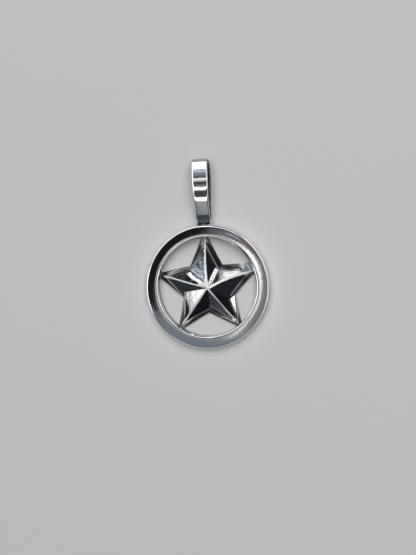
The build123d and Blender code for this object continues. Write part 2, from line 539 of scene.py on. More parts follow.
    def flank(self, number: int, side: Side) -> tuple[Flank, Array, Array, Array]:
        """One side of an arm.

        Args:
            number: The arm's place in the list of arms.
            side: Which side of it.

        Returns:
            The flank, the facet's inner corner, the skirt's inner corner and the arm's end corner.
        """
        right_end, left_end = self.ends[number]
        if side is Side.LEFT:
            return self.arms[number].left, self.left_notches[number], self.skirt_notches[number], left_end
        before = number - 1
        return self.arms[number].right, self.right_notches[before], self.skirt_notches[before], right_end

    def facet_normal(self, name: str, side: Side) -> Array:
        """Direction in which a facet looks.

        Args:
            name: The arm's name.
            side: Which side of the arm.

        Returns:
            The unit normal in the pendant's frame.
        """
        number = [arm.name for arm in self.arms].index(name)
        plane = plane_through(self.peak, self.tips[number], self.flank(number, side)[1])
        normal = np.array([-plane[1], -plane[2], 1.0])
        return normal / np.linalg.norm(normal)

    def arm_height(self, number: int, x: Array, y: Array, relief: Array) -> tuple[Array, Array, Array]:
        """Height of one arm's own faces over these places.

        Args:
            number: The arm's place in the list of arms.
            x: Places along x.
            y: Places along y.
            relief: Fine relief at these places, from about -1 to 1.

        Returns:
            The height of its lowest face at each place, with rounded edges, how near each place is
            to the crest of the ridge, and how much painted shade it has. The last two are from 0 to 1.
        """
        arm = self.arms[number]
        tip = self.tips[number]
        facets = []
        skirts = []
        painted_shade = []
        hollow = np.zeros_like(x)
        for side in Side:
            flank, notch, skirt_notch, end = self.flank(number, side)
            centre = (self.peak + tip + notch) / 3.0
            away = ((x - centre[0]) ** 2 + (y - centre[1]) ** 2) / self.bulge_reach**2
            facet = height_on(plane_through(self.peak, tip, notch), x, y) + flank.bulge * (1.0 - away)
            wall_plane = plane_through(tip, notch, skirt_notch)
            toe_plane = plane_through(tip, end, skirt_notch)
            wall = height_on(wall_plane, x, y)
            skirt = height_on(toe_plane, x, y)
            if height_on(wall_plane, *self.peak[:2]) < self.peak[2] + self.edge_blend:
                # This wall falls no more than its facet, so the edge between them is hollow; that hollow gets
                # painted shade.
                hollow = np.maximum(hollow, flank.painted_shade * fade(wall - facet, 0.0, self.edge_blend))
                facet = smooth_max(facet, wall, self.edge_blend)
            elif height_on(toe_plane, *notch[:2]) < notch[2]:
                skirt = smooth_max(wall, skirt, self.edge_blend)
            else:
                skirt = smooth_min(wall, skirt, self.edge_blend)
            facets.append(facet + flank.grit * relief)
            skirts.append(skirt)
            painted_shade.append(flank.painted_shade)
        front = height_on(plane_through(tip, *self.ends[number]), x, y)
        out = fade(np.hypot(x, y + self.drop), 0.0, np.hypot(tip[0], tip[1] + self.drop))
        blend = arm.ridge + out * (arm.ridge_end - arm.ridge)
        height = smooth_min(*facets, blend)
        walls = smooth_min(*skirts, self.edge_blend)
        skirt = smooth_min(walls, front, self.edge_blend)
        crest = fade(np.abs(facets[0] - facets[1]), blend, 0.0)
        crest = np.where(skirt < height - self.edge_blend, 0.0, crest)
        edge = self.edge_wear * fade(np.abs(height - skirt), self.edge_blend, 0.0)
        # Painted dark reflection on the skirts, and painted shade on the arm's end and in hollow edges off
        # the crest.
        dark = np.where(skirts[0] < skirts[1], *painted_shade)
        dark = np.where(front < walls, arm.end_shade, dark)
        dark = dark * fade(height - skirt, self.edge_blend, 2.0 * self.edge_blend)
        dark = np.maximum(dark, hollow * (1.0 - crest))
        return smooth_min(height, skirt, self.edge_blend), np.maximum(crest, edge), dark

    def height(self, x: Array, y: Array) -> tuple[Array, Array, Array]:
        """Height of the star's front over these places.

        Args:
            x: Places along x.
            y: Places along y.

        Returns:
            The height, how worn each place is and how much painted shade it has. The last two are from 0 to
            1.
        """
        turn = np.degrees(np.arctan2(y + self.drop, x))
        places = np.column_stack([x, y, np.zeros_like(x)])
        height = np.full_like(x, self.nowhere)
        worn = np.zeros_like(x)
        dark = np.zeros_like(x)
        fill = np.zeros_like(x)
        clear = np.full_like(x, self.step)
        for valley, angle in zip(self.valleys, self.valley_angles):
            away = apart(turn, angle)
            fill = np.where(away < self.step / 2 + self.fill_overlap, valley.fill, fill)
            clear = np.minimum(clear, away)
        grit = hand_noise(places, self.grit_grain, self.grit_seed) * fade(clear, 0.0, self.grit_fade)
        for number, angle in enumerate(self.angles):
            away = apart(turn, angle)
            arm_height, crest, painted_shade = self.arm_height(number, x, y, grit)
            arm_height = np.where(away < self.step, arm_height, self.nowhere)
            dark = np.where(arm_height > height, painted_shade, dark)
            height = smooth_max(height, arm_height, fill)
            worn = np.where(away < self.step / 2, crest, worn)
        relief = hand_noise(places, self.ripple_grain, self.ripple_seed)
        fine = hand_noise(places, self.ripple_grain / self.fine_ratio, self.fine_seed)
        relief = relief + self.fine_share * fine
        height = height + self.ripple * relief * (1.0 - worn)
        for dent in self.dents:
            height = height + dent.at(x, y)
        return height, worn, dark

    def ray_angles(self) -> Array:
        """Directions, in degrees, of the lines of points from the star's middle.

        Returns:
            The angles in order. They pass through each corner too.
        """
        shares = np.array(self.ray_shares)
        reach = self.reach(0.0, self.hoop.inner_radius + self.solder_depth)
        angles: list[float] = []
        for number, (arm, angle) in enumerate(zip(self.arms, self.angles)):
            left = self.valley_angles[number] - angle
            right = angle - (self.valley_angles[number - 1] - (360.0 if number == 0 else 0.0))
            angles += [*(angle + shares * left), *(angle - shares[1:] * right), self.valley_angles[number]]
            angles += [angle + math.degrees(math.atan2(arm.left_end, reach)),
                       angle - math.degrees(math.atan2(arm.right_end, reach))]
        return np.sort(np.mod(angles, 360.0))

    def ray_lengths(self, towards: Array, corners: list[Array]) -> Array:
        """Distance from the star's middle to a closed outline.

        Args:
            towards: Unit directions as rows of x, y.
            corners: The outline's corners, in order, counter-clockwise.

        Returns:
            One distance a direction.
        """
        slack = 1e-6
        middle = np.array([0.0, -self.drop])
        lengths = np.full(len(towards), np.inf)
        for start, stop in zip(corners, corners[1:] + corners[:1]):
            first = start[:2] - middle
            along = stop[:2] - start[:2]
            cross = towards[:, 0] * along[1] - towards[:, 1] * along[0]
            length = (first[0] * along[1] - first[1] * along[0]) / cross
            share = (first[0] * towards[:, 1] - first[1] * towards[:, 0]) / cross
            hit = (share > -slack) & (share < 1.0 + slack) & (length > 0.0)
            lengths = np.where(hit, np.minimum(lengths, length), lengths)
        return lengths

    def points(self) -> tuple[Array, Array, Array]:
        """All points of the star, from the peak to the middle of the back.

        Returns:
            The points as (ring, place, xyz), and how worn each is and how much painted shade it
            has, both as (ring, place).
        """
        turns = np.radians(self.ray_angles())
        towards = np.column_stack([np.cos(turns), np.sin(turns)])
        outline: list[Array] = []
        for ends, notch in zip(self.ends, self.skirt_notches):
            outline += [*ends, notch]
        skirt_end = self.ray_lengths(towards, outline)
        clean = np.zeros(len(turns))
        bottom = clean + self.back_inset

        def ring(radius: Array, height: Array) -> Array:
            """A ring of points at these radii and heights."""
            return np.column_stack([radius * towards[:, 0], radius * towards[:, 1] - self.drop, height])

        rows = []
        worn = []
        dark = []
        for share in np.arange(1, self.rings + 1) / self.rings:
            points = ring(share * (skirt_end - self.lip), clean)
            points[:, 2], wear, painted_shade = self.height(points[:, 0], points[:, 1])
            rows.append(points)
            worn.append(wear)
            dark.append(painted_shade)
        last = rows[-1][:, 2]
        rows += [ring(skirt_end, last - self.lip), ring(skirt_end, bottom + self.lip)]
        rows.append(ring(skirt_end - self.lip, bottom))
        rows += [ring(share * skirt_end, bottom) for share in self.back_rings]
        dark += [dark[-1]] * 2
        worn += [clean] * (len(rows) - len(worn))
        dark += [clean] * (len(rows) - len(dark))
        return np.array(rows), np.array(worn), np.array(dark)

    def build(self, pose: RestPose, finish: Material) -> Object:
        """Makes the star.

        Args:
            pose: How the pendant lies.
            finish: The star's finish.

        Returns:
            The new piece. Its last points are the peak, which is worn, and the middle of its back.
        """
        rings, worn, dark = self.points()
        marks = np.append(worn.ravel(), [1.0, 0.0]), np.append(dark.ravel(), [0.0, 0.0])
        return pose.piece("star", join_rings(rings), finish, *marks)


@dataclass
class Lug:
    """The tab on top of the hoop that the bail grips, with a flare at its foot."""

    hoop: Hoop
    width: float = 2.1
    thick: float = 0.5
    shown: float = 0.9  # height between the hoop and the bail's ends
    gripped: float = 0.88  # height inside the bail
    flare: float = 0.35  # radius of the foot's side fillets
    flare_sink: float = 0.06  # how deep the fillets end in the hoop
    foot_sink: float = 0.25  # how deep the foot's full width is in the hoop
    flare_thick: float = 0.3  # share of the flare by which the foot is thicker and rounder
    root: float = 0.5  # how deep it is sunk in the band
    corner: float = 0.08  # rounding of its long edges
    fillet_steps: int = 9  # sections over the fillets
    first_rise: float = 0.1  # from there to the first section of the straight part
    steps: int = 8  # sections of the straight part
    across: int = 12  # steps over its front and over its back

    @property
    def top(self) -> float:
        """Height of the bail's ends over the hoop's middle."""
        return self.hoop.outer_radius + self.shown

    def points(self) -> Array:
        """Works out the tab's rings of points from the root to the top.

        Returns:
            The points as (ring, place, xyz).
        """
        foot = self.hoop.outer_radius
        fillet = np.linspace(0.0, math.pi / 2, self.fillet_steps)
        flare_up = foot - self.flare_sink + self.flare * (1.0 - np.cos(fillet))
        steps = [(foot - self.root, self.flare), (foot - self.foot_sink, self.flare)]
        steps += list(zip(flare_up, self.flare * (1.0 - np.sin(fillet))))
        start, stop = flare_up[-1] + self.first_rise, self.top + self.gripped
        steps += [(height, 0.0) for height in np.linspace(start, stop, self.steps)]
        rows = []
        for height, out in steps:
            more = self.flare_thick * out
            width, thick = self.width + 2 * out, self.thick + more
            x, z = rounded_bar(width, thick, self.corner + more, 0.0, self.across).T
            rows.append(np.column_stack([x, np.full_like(x, height), z + self.hoop.thick / 2]))
        return np.array(rows)

    def build(self, pose: RestPose, finish: Material) -> Object:
        """Makes the tab."""
        return pose.piece("lug", join_rings(self.points()), finish)


@dataclass(frozen=True)
class Blob:
    """A bead of solder."""

    middle: Place
    half: Place  # half its length along x, y and z, before its turn
    turn: float = 0.0  # about z, in degrees

    def rings(self, steps: int) -> Array:
        """Works out the bead's points.

        Args:
            steps: Number of rings.

        Returns:
            The points as (ring, place, xyz).
        """
        turn = math.radians(self.turn)
        spin = np.array([[math.cos(turn), math.sin(turn), 0.0], [-math.sin(turn), math.cos(turn), 0.0],
                         [0.0, 0.0, 1.0]])
        around = np.arange(2 * steps) * math.pi / steps
        rings = []
        for tilt in np.linspace(0.0, math.pi, steps + 2)[1:-1]:
            flat, up = math.sin(tilt), np.full_like(around, math.cos(tilt))
            ring = np.column_stack([flat * np.cos(around), flat * np.sin(around), up])
            rings.append(ring * np.array(self.half) @ spin + np.array(self.middle))
        return np.array(rings)


@dataclass
class Solder:
    """The fillets of solder where the star's tips meet the hoop, and the bead at the lug's foot."""

    star: Star
    lug: Lug
    half: Place = (0.26, 0.42, 0.22)  # half a fillet's length along and across the arm, and its height
    sink: float = 0.02  # how deep the fillets sit in the hoop and in the plate
    foot_half: Place = (0.2, 0.16, 0.16)  # the same of the lug's bead, along x, y and z
    foot_place: Place = (-0.05, 0.02, 0.04)  # its middle from the middle of the lug's front foot
    steps: int = 12  # rings of each bead

    def blobs(self) -> list[Blob]:
        """Places all beads of solder.

        Returns:
            One bead an arm, and the one at the lug's foot.
        """
        hoop = self.star.hoop
        beads = []
        for angle in self.star.angles:
            radius = self.star.reach(angle, hoop.inner_radius) - self.sink
            middle = self.star.spot(angle, radius, self.star.plate_top - self.sink)
            beads.append(Blob(tuple(middle), self.half, angle))
        aside, up, front = self.foot_place
        front += hoop.thick / 2 + self.lug.thick / 2
        return [*beads, Blob((aside, hoop.outer_radius + up, front), self.foot_half)]

    def build(self, pose: RestPose, finish: Material) -> Object:
        """Makes all beads as one piece.

        Args:
            pose: How the pendant lies.
            finish: The solder's finish.

        Returns:
            The new piece.
        """
        points = np.empty((0, 3))
        faces: Faces = []
        for blob in self.blobs():
            start = len(points)
            more, its_faces = join_rings(blob.rings(self.steps))
            points = np.vstack([points, more])
            faces += [tuple(start + corner for corner in face) for face in its_faces]
        return pose.piece("solder", (points, faces), finish)


@dataclass
class Bail:
    """The strap folded into a narrow loop, with its two ends on the lug."""

    lug: Lug
    height: float = 9.7  # from its ends to its top
    depth: float = 3.6  # from its front to its back at the widest place
    widest: float = 5.7  # height of the widest place over its ends
    flank_radius: float = 12.0  # of the flanks' middle line
    strap: float = 0.6  # thickness of the strap
    top_width: float = 2.56
    end_width: float = 2.28
    widen: Range = (2.0, 6.5)  # height over its ends at which it starts to widen and is full
    grip: float = 0.6  # length of the straight stretch on the lug
    gap: float = 0.05  # between strap and lug
    corner: float = 0.26  # rounding of the strap's long edges
    crown: float = 0.02  # how much the strap's middle stands out over its sides
    filed: float = 0.2  # how much thinner its ends are filed
    filed_over: float = 0.05  # how far beyond the grip that goes
    rear_shade: float = 0.75  # how dark the painted shade on the rear half is, from 0 to 1; the inside is fully so
    rear_start: Range = (0.4, -0.4)  # distance in front of the middle at which that starts and is full
    crest_shade: float = 0.5  # how dark the painted shade on the top of the loop is
    crest_start: Range = (0.74, 0.86)  # turn of the strap, in radians, at which that starts and is full
    inner_start: Range = (0.3, -0.3)  # the same of the inside, as a share of the strap's thickness
    spacing: float = 0.08  # length of the steps along the strap
    crest_steps: int = 44  # points over the top arc
    across: int = 14  # steps over the strap's front and over its back
    smooth_over: int = 5  # points over which each normal is averaged
    smooth_times: int = 2

    def __post_init__(self) -> None:
        """Works out the middle line's centres and angles from the sizes."""
        self.base = self.lug.top
        self.grip_v = self.lug.thick / 2 + self.gap + self.strap / 2
        self.grip_u = self.base + self.grip
        self.widest_u = self.base + self.widest
        line_top = self.base + self.height - self.strap / 2
        rise = line_top - self.widest_u
        self.flank_v = (self.depth - self.strap) / 2 - self.flank_radius
        self.top_radius = self.flank_radius**2 - self.flank_v**2 - rise**2
        self.top_radius /= 2 * (self.flank_radius - rise)
        self.top_u = line_top - self.top_radius
        to_flank = np.array([self.widest_u - self.grip_u, self.flank_v - self.grip_v])
        away = float(np.linalg.norm(to_flank))
        self.lean = math.atan2(to_flank[1], to_flank[0]) + math.asin(self.flank_radius / away)
        self.close = math.atan2(self.top_u - self.widest_u, -self.flank_v)

    @staticmethod
    def arc(centre: Range, radius: float, angles: Array) -> Array:
        """Rows of the middle line round a centre, as the normal turns through these angles."""
        u, v = centre
        return np.column_stack([u + radius * np.sin(angles), v + radius * np.cos(angles), angles])

    def middle_line(self) -> Array:
        """The strap's middle line from the front end over the top to the back end.

        Returns:
            Rows of (u, v, normal): the height over the hoop's middle, the distance in front of the
            pendant's middle plane, and the angle of the outward normal from straight ahead.
        """
        turn = self.lean + self.close
        steps = round(turn * self.flank_radius / self.spacing)
        turns = np.linspace(-self.lean, self.close, steps, endpoint=False)
        flank = self.arc((self.widest_u, self.flank_v), self.flank_radius, turns)
        gripped = np.arange(self.base, self.grip_u - self.spacing / 2, self.spacing)
        gripped = np.column_stack([gripped, np.full_like(gripped, self.grip_v), np.zeros_like(gripped)])
        bend = np.array([self.grip_u, self.grip_v])
        straight = flank[0, :2] - bend
        steps = max(2, round(float(np.linalg.norm(straight)) / self.spacing))
        shares = np.arange(steps)[:, None] / steps
        straight = np.column_stack([bend + shares * straight, np.full(steps, -self.lean)])
        front = np.vstack([gripped, straight, flank])
        turns = np.linspace(self.close, math.pi - self.close, self.crest_steps)
        crest = self.arc((self.top_u, 0.0), self.top_radius, turns)
        back = front[::-1] * np.array([1.0, -1.0, -1.0]) + np.array([0.0, 0.0, math.pi])
        line = np.vstack([front, crest, back])
        smooth = np.ones(self.smooth_over) / self.smooth_over
        for _ in range(self.smooth_times):
            padded = np.pad(line[:, 2], self.smooth_over // 2, mode="edge")
            line[:, 2] = np.convolve(padded, smooth, mode="valid")
        return line

    def points(self) -> tuple[Array, Array]:
        """Rings of points along the strap.

        Returns:
            The points as (ring, place, xyz), and how much painted shade each has, as (ring, place).
        """
        middle = self.lug.hoop.thick / 2
        rows = []
        dark = []
        for u, v, normal in self.middle_line():
            share = fade(u - self.base, *self.widen)
            share = share * share * (3.0 - 2.0 * share)
            width = self.end_width + share * (self.top_width - self.end_width)
            x, out = rounded_bar(width, self.strap, self.corner, self.crown, self.across).T
            inner = fade(out / self.strap, *self.inner_start)
            low = max(self.grip_u + self.filed_over - u, 0.0) / self.grip
            out = out - self.filed * low * fade(out / self.strap, -0.5, 0.5)
            rows.append(np.column_stack([x, u + out * math.sin(normal), middle + v + out * math.cos(normal)]))
            # Painted shade: the rear half, the top of the loop and the strap's inside are darker.
            rear = self.rear_shade * fade(v, *self.rear_start)
            crest = self.crest_shade * fade(normal, *self.crest_start)
            dark.append(np.clip(max(rear, crest) + inner, 0.0, 1.0))
        return np.array(rows), np.array(dark)

    def build(self, pose: RestPose, finish: Material) -> Object:
        """Makes the bail, which rides with the pendant and stands for its node.

        Args:
            pose: How the pendant lies.
            finish: The bail's finish.

        Returns:
            The new piece.
        """
        rings, dark = self.points()
        dark = np.append(dark.ravel(), [0.0, 0.0])
        made = pose.piece("bail_strap", join_rings(rings), finish, painted_shade=dark)
        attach(made, BODY)
        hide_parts("bail")
        return made


def rest_pose(hoop: Hoop, bail: Bail) -> RestPose:
    """Works out how the pendant lies, from the two circles that touch the table.

    Args:
        hoop: The ring, which lies on its lower back edge.
        bail: The bail, which lies on the back of its flank.

    Returns:
        The pose in which both touch the table and the bail's top is where the frame has it.
    """
    back = hoop.back_round
    low_edge = np.array([back - hoop.outer_radius, back])
    flank = np.array([bail.widest_u, hoop.thick / 2 - bail.flank_v])
    between = flank - low_edge
    extra = bail.flank_radius + bail.strap / 2 - back
    tilt = math.asin(extra / float(np.linalg.norm(between))) - math.atan2(between[1], between[0])
    up = back - (low_edge[0] * math.sin(tilt) + low_edge[1] * math.cos(tilt))
    top = bail.top_u * math.cos(tilt) - hoop.thick / 2 * math.sin(tilt) + bail.top_radius + bail.strap / 2
    frame_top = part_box("bail")[1].y / MM
    return RestPose(tilt, (0.0, frame_top - top, up))


class NodeSheet:
    """A node tree with short calls to add and wire nodes."""

    def __init__(self, tree: bpy.types.NodeTree) -> None:
        """Starts from an empty tree."""
        self.tree = tree
        tree.nodes.clear()

    def add(self, kind: str, wires: Wires | None = None, **settings: object) -> bpy.types.Node:
        """Adds a node.

        Args:
            kind: The node's type without its ShaderNode prefix, or its whole name for a group's ends.
            wires: For inputs by name or number, the output to wire in or a plain value to set.
            **settings: Values for the node's own settings.

        Returns:
            The new node.
        """
        node = self.tree.nodes.new(kind if kind.startswith("NodeGroup") else "ShaderNode" + kind)
        for name, value in settings.items():
            setattr(node, name, value)
        for name, value in (wires or {}).items():
            if isinstance(value, Socket):
                self.tree.links.new(value, node.inputs[name])
            else:
                node.inputs[name].default_value = value
        return node

    def maths(self, operation: str, *values: object) -> Socket:
        """Adds a maths node, and returns its output."""
        return self.add("Math", dict(enumerate(values)), operation=operation).outputs[0]

    def ramp(self, value: Socket, start: Range, to: Range = (0.0, 1.0)) -> Socket:
        """Maps a range smoothly to another, and returns the output."""
        wires = {"Value": value, "From Min": start[0], "From Max": start[1], "To Min": to[0], "To Max": to[1]}
        return self.add("MapRange", wires, interpolation_type="SMOOTHSTEP").outputs["Result"]

    def noise(self, vector: Socket, scale: object, detail: float = 2.0) -> Socket:
        """Adds a noise texture, and returns its value output."""
        return self.add("TexNoise", {"Vector": vector, "Scale": scale, "Detail": detail}).outputs["Fac"]

    def mix_colour(self, share: Socket, first: object, second: object) -> Socket:
        """Mixes two colours, and returns the output. The node has its colours at inputs 6 and 7."""
        return self.add("Mix", {0: share, 6: first, 7: second}, data_type="RGBA").outputs[2]

    def place(self) -> Socket:
        """The place on the piece, in metres."""
        return self.add("TexCoord").outputs["Object"]

    def millimetres(self) -> Socket:
        """The place on the piece, in millimetres."""
        node = self.add("VectorMath", {0: self.place(), "Scale": 1.0 / MM}, operation="SCALE")
        return node.outputs["Vector"]

    def mark(self, label: str) -> Socket:
        """A value that is kept in the mesh's points."""
        return self.add("Attribute", attribute_name=label).outputs["Fac"]


def new_group(name: str, inputs: dict[str, float]) -> tuple[NodeSheet, bpy.types.NodeOutputs]:
    """Starts a shader node group.

    Args:
        name: The group's name.
        inputs: Its number inputs, with their usual values.

    Returns:
        The sheet to fill, and the sockets that give the inputs.
    """
    tree = bpy.data.node_groups.new(name, "ShaderNodeTree")
    sheet = NodeSheet(tree)
    for label, usual in inputs.items():
        socket = tree.interface.new_socket(name=label, in_out="INPUT", socket_type="NodeSocketFloat")
        socket.default_value = usual
    return sheet, sheet.add("NodeGroupInput").outputs


def end_group(sheet: NodeSheet, outputs: dict[str, Socket]) -> bpy.types.NodeTree:
    """Gives a group its number outputs.

    Args:
        sheet: The group's sheet.
        outputs: What each output puts out.

    Returns:
        The finished group.
    """
    for label in outputs:
        sheet.tree.interface.new_socket(name=label, in_out="OUTPUT", socket_type="NodeSocketFloat")
    sheet.add("NodeGroupOutput", outputs)
    return sheet.tree


def hand_polish_group() -> bpy.types.NodeTree:
    """Builds the fine scratches and soft ripples that a hand-held buff leaves.

    Returns:
        A group that puts out a relief and a rub mask.
    """
    usual = {"Scratch Depth": 1.0, "Ripple Depth": 1.0, "Across Scale": 26.0, "Ripple Scale": 1.4}
    sheet, given = new_group("hand_polish", usual)
    place = sheet.place()
    buffs = ((0.5, 9.0), (-0.9, 12.0), (1.9, 7.0))  # turn in radians, and length over width
    strokes = []
    for turn, stretch in buffs:
        size = (1.0 / (MM * stretch), 1.0 / MM, 1.0 / MM)
        mapping = sheet.add("Mapping", {"Vector": place, "Rotation": (0.0, 0.0, turn), "Scale": size})
        strokes.append(sheet.noise(mapping.outputs["Vector"], given["Across Scale"], detail=1.0))
    crossed = sheet.maths("MULTIPLY", sheet.maths("MULTIPLY", strokes[0], strokes[1]), strokes[2])
    scratch = sheet.ramp(crossed, (0.16, 0.3))
    ripple = sheet.noise(sheet.millimetres(), given["Ripple Scale"])
    deep = sheet.maths("MULTIPLY", scratch, given["Scratch Depth"])
    soft = sheet.maths("MULTIPLY", ripple, given["Ripple Depth"])
    return end_group(sheet, {"Height": sheet.maths("SUBTRACT", soft, deep), "Rub": scratch})


def crevice_group() -> bpy.types.NodeTree:
    """Builds the painted shade: in corners that ambient occlusion finds and where the mesh marks it, broken
    up by a fine noise.

    Returns:
        A group that puts out a mask.
    """
    sheet, given = new_group("painted_shade_mask", {"Reach": 0.5, "Amount": 1.0})
    distance = sheet.maths("MULTIPLY", given["Reach"], MM)
    # Painted shade in corners, from ambient occlusion.
    shade = sheet.add("AmbientOcclusion", {"Distance": distance}, samples=8)
    left = (0.55, 1.0)  # share of the painted shade that the noise leaves in corners
    broken = sheet.ramp(sheet.noise(sheet.millimetres(), scale=3.0, detail=4.0), (0.3, 0.65), left)
    hidden = sheet.ramp(shade.outputs["AO"], (0.8, 0.25))
    corners = sheet.maths("MULTIPLY", sheet.maths("MULTIPLY", hidden, broken), given["Amount"])
    # The painted shade and dark reflection that the mesh's points mark.
    marked = sheet.maths("MULTIPLY", sheet.mark(PAINTED_SHADE_MARK), sheet.ramp(broken, left, (0.85, 1.0)))
    both = sheet.maths("MAXIMUM", corners, marked)
    return end_group(sheet, {"Mask": sheet.maths("MINIMUM", both, 1.0)})


def edge_wear_group() -> bpy.types.NodeTree:
    """Builds where crests are rubbed to a satin: along the worn points, broken up by a fine noise.

    Returns:
        A group that puts out a mask.
    """
    sheet, given = new_group("edge_wear", {"Amount": 1.0})
    crest = sheet.ramp(sheet.mark(WEAR), (0.0, 0.6))
    patches = sheet.noise(sheet.millimetres(), scale=5.0, detail=3.0)
    broken = sheet.ramp(patches, (0.25, 0.5), (0.75, 1.0))
    both = sheet.maths("MULTIPLY", crest, broken)
    return end_group(sheet, {"Mask": sheet.maths("MULTIPLY", both, given["Amount"])})


@dataclass(frozen=True)
class SilverFinish:
    """A polished silver finish."""

    name: str
    silver: Colour = (0.93, 0.94, 0.955)  # the clean metal
    worn: Colour = (0.97, 0.975, 0.985)  # the metal of the worn edges
    # The colour of the painted shade and painted dark reflection.
    painted_shade: Colour = (0.04, 0.038, 0.041)
    roughness: float = 0.07  # of the clean metal
    rub_roughness: float = 0.05  # how much rougher the scratches are
    wear_roughness: float = 0.38  # how much rougher the worn edges are
    shade_roughness: float = 0.3  # how much rougher the painted shade is
    scratch: float = 0.35  # depth of the scratches, in thousandths of a millimetre
    ripple: float = 2.0  # depth of the soft ripples, in thousandths of a millimetre
    shade_reach: float = 0.5  # how far from a corner the painted shade reaches, in millimetres
    # How strong the painted shade in corners is.
    shade_amount: float = 0.8
    wear: float = 1.0  # how strong the worn edges are

    def material(self, groups: dict[str, bpy.types.NodeTree]) -> Material:
        """Builds the material.

        Args:
            groups: The shared node groups by name.

        Returns:
            The finished material.
        """
        made = bpy.data.materials.new(self.name)
        made.use_nodes = True
        sheet = NodeSheet(made.node_tree)
        depths = {"Scratch Depth": self.scratch, "Ripple Depth": self.ripple}
        polish = sheet.add("Group", depths, node_tree=groups["hand_polish"])
        corners = {"Reach": self.shade_reach, "Amount": self.shade_amount}
        crevice = sheet.add("Group", corners, node_tree=groups["painted_shade_mask"])
        wear = sheet.add("Group", {"Amount": self.wear}, node_tree=groups["edge_wear"])
        # The painted shade mask darkens the silver, and the worn edges lighten it.
        dark, rubbed = crevice.outputs["Mask"], wear.outputs["Mask"]
        colour = sheet.mix_colour(dark, (*self.silver, 1.0), (*self.painted_shade, 1.0))
        colour = sheet.mix_colour(rubbed, colour, (*self.worn, 1.0))
        rough = sheet.maths("MULTIPLY_ADD", polish.outputs["Rub"], self.rub_roughness, self.roughness)
        rough = sheet.maths("MULTIPLY_ADD", rubbed, self.wear_roughness, rough)
        rough = sheet.maths("MULTIPLY_ADD", dark, self.shade_roughness, rough)
        relief = {"Strength": 1.0, "Distance": MM * MM, "Height": polish.outputs["Height"]}
        normal = sheet.add("Bump", relief).outputs["Normal"]
        surface = {"Metallic": 1.0, "Base Color": colour, "Roughness": rough, "Normal": normal}
        shader = sheet.add("BsdfPrincipled", surface)
        sheet.add("OutputMaterial", {"Surface": shader.outputs["BSDF"]})
        return made


@dataclass(frozen=True)
class SoftLight:
    """One rectangular studio light, placed by the direction in which the pendant sees it."""

    name: str
    azimuth: float  # in degrees, from the right side, in the pendant's frame
    off_zenith: float  # degrees away from straight over the pendant
    width: float  # angular width in degrees, sideways
    height: float  # angular height in degrees, away from the zenith
    radiance: float  # brightness of its face; mirrored silver is white from about 0.84 on
    reach: Reach
    tint: Colour = WHITE
    distance: float = 0.6  # how far away it stands, in metres
    round: bool = False  # True makes it an ellipse
    level: bool = False  # True keeps its width along the pendant's x axis

    def build(self, pose: RestPose, target: Array) -> None:
        """Makes the light.

        Args:
            pose: How the pendant lies, which the direction follows.
            target: The point that it faces, in metres.
        """
        turn, away = math.radians(self.azimuth), math.radians(self.off_zenith)
        out = np.array([math.sin(away) * math.cos(turn), math.sin(away) * math.sin(turn), math.cos(away)])
        down = np.array([math.cos(away) * math.cos(turn), math.cos(away) * math.sin(turn), -math.sin(away)])
        if self.level:
            down = np.cross(out, [1.0, 0.0, 0.0])
            down /= -np.linalg.norm(down)
        out, down = pose.turn(np.array([out, down]))
        light = bpy.data.lights.new(self.name, "AREA")
        light.shape = "ELLIPSE" if self.round else "RECTANGLE"
        wide = 2 * self.distance * math.tan(math.radians(self.width / 2))
        high = 2 * self.distance * math.tan(math.radians(self.height / 2))
        light.size, light.size_y = wide, high
        area = wide * high * (math.pi / 4 if self.round else 1.0)
        light.energy = LIGHT_POWER * self.radiance * area
        light.color = self.tint
        made = add_object(self.name, light)
        stand(made, (np.cross(down, out), -down, out), target + self.distance * out)
        reached = bpy.data.collections.new(self.name + "_reach")
        for name in self.reach.value:
            reached.objects.link(bpy.data.objects[name])
        made.light_linking.receiver_collection = reached
        log.info("light %s: azimuth %.0f, off zenith %.0f", made.name, self.azimuth, self.off_zenith)


def strip_light(name: str, low: float, high: float, radiance: float, tint: Colour = WHITE) -> SoftLight:
    """A long narrow light across the pendant, for the bail alone.

    Args:
        name: The light's name.
        low: Sine of the angle over the x axis at which it starts, towards -y negative.
        high: The same where it ends.
        radiance: Brightness of its face.
        tint: Its colour.

    Returns:
        The light, which crosses the plane x = 0.
    """
    start, stop = math.degrees(math.asin(low)), math.degrees(math.asin(high))
    middle = (start + stop) / 2
    azimuth = 90.0 if middle > 0.0 else 270.0
    return SoftLight(name, azimuth, abs(middle), 80.0, stop - start, radiance, Reach.BAIL, tint)


def card_over(name: str, x_range: Range, y_range: Range, radiance: float,
              tint: Colour = WHITE, reach: Reach = Reach.HOOP) -> SoftLight:
    """A card over the pendant, given by the part of the sky that it fills.

    Args:
        name: The light's name.
        x_range: From where to where it reaches along x, as parts of a unit direction.
        y_range: The same along y.
        radiance: Brightness of its face.
        tint: Its colour.
        reach: The pieces that it reaches.

    Returns:
        The light.
    """
    x, y = sum(x_range) / 2, sum(y_range) / 2
    azimuth = math.degrees(math.atan2(y, x))
    off_zenith = math.degrees(math.asin(math.hypot(x, y)))
    width = math.degrees((x_range[1] - x_range[0]) / math.sqrt(1.0 - x**2))
    height = math.degrees((y_range[1] - y_range[0]) / math.sqrt(1.0 - x**2 - y**2))
    return SoftLight(name, azimuth, off_zenith, width, height, radiance, reach, tint, level=True)


